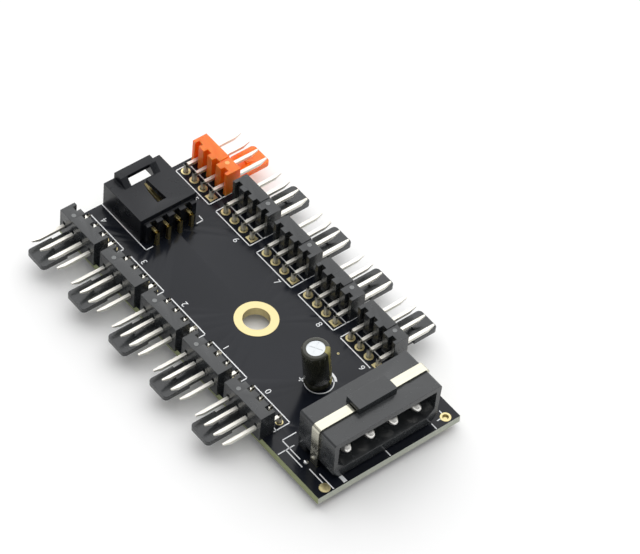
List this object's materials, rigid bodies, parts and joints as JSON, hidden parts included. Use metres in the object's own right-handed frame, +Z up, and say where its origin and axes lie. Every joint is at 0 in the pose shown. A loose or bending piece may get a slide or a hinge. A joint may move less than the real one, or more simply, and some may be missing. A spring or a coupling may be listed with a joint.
{
  "type": "pc fan controller hub board",
  "caption": "Fan controller hub: a black circuit board with a plated mounting hole, rows of right-angle fan headers, a shrouded signal input and a keyed power inlet",
  "frame": {"origin": "centre of the bounding box at floor level, straight under the mounting hole, with the soldered tails standing on the floor", "axes": "+X along the board towards the power inlet, +Y towards the row of headers with the orange one, +Z up out of the component side"},
  "size_m": [0.0742, 0.0484, 0.014],
  "materials": {
    "solder_mask": "satin black solder mask on glass-fibre board, pale fibre edges",
    "gold_plating": "bright gold plating",
    "black_plastic": "smooth moulded nylon, slightly glossy",
    "orange_plastic": "smooth moulded nylon, slightly glossy",
    "tinned_pin": "bright tin plate",
    "gold_pin": "thin gold plate",
    "tinned_strap": "bright tinned strip",
    "bare_aluminium": "bare drawn aluminium",
    "shrink_sleeve": "thin glossy printed shrink film",
    "bung_rubber": "matte moulded rubber",
    "solder": "bright solder fillets"
  },
  "bodies": {
    "root": {"circuit_board": "solder_mask", "mounting_ring": "gold_plating", "fan_housing_0": "black_plastic", "fan_housing_1": "black_plastic", "fan_housing_2": "black_plastic", "fan_housing_3": "black_plastic", "fan_housing_4": "black_plastic", "fan_housing_5": "orange_plastic", "fan_housing_6": "black_plastic", "fan_housing_7": "black_plastic", "fan_housing_8": "black_plastic", "fan_housing_9": "black_plastic", "fan_pins_0": "tinned_pin", "fan_pins_1": "tinned_pin", "fan_pins_2": "tinned_pin", "fan_pins_3": "tinned_pin", "fan_pins_4": "tinned_pin", "fan_pins_5": "tinned_pin", "fan_pins_6": "tinned_pin", "fan_pins_7": "tinned_pin", "fan_pins_8": "tinned_pin", "fan_pins_9": "tinned_pin", "input_shroud": "black_plastic", "input_pins": "gold_pin", "power_housing": "black_plastic", "power_pins": "tinned_pin", "power_strap": "tinned_strap", "capacitor_can": "bare_aluminium", "capacitor_sleeve": "shrink_sleeve", "capacitor_bung": "bung_rubber", "capacitor_leads": "tinned_pin", "solder_joints": "solder"}
  },
  "joints": []
}
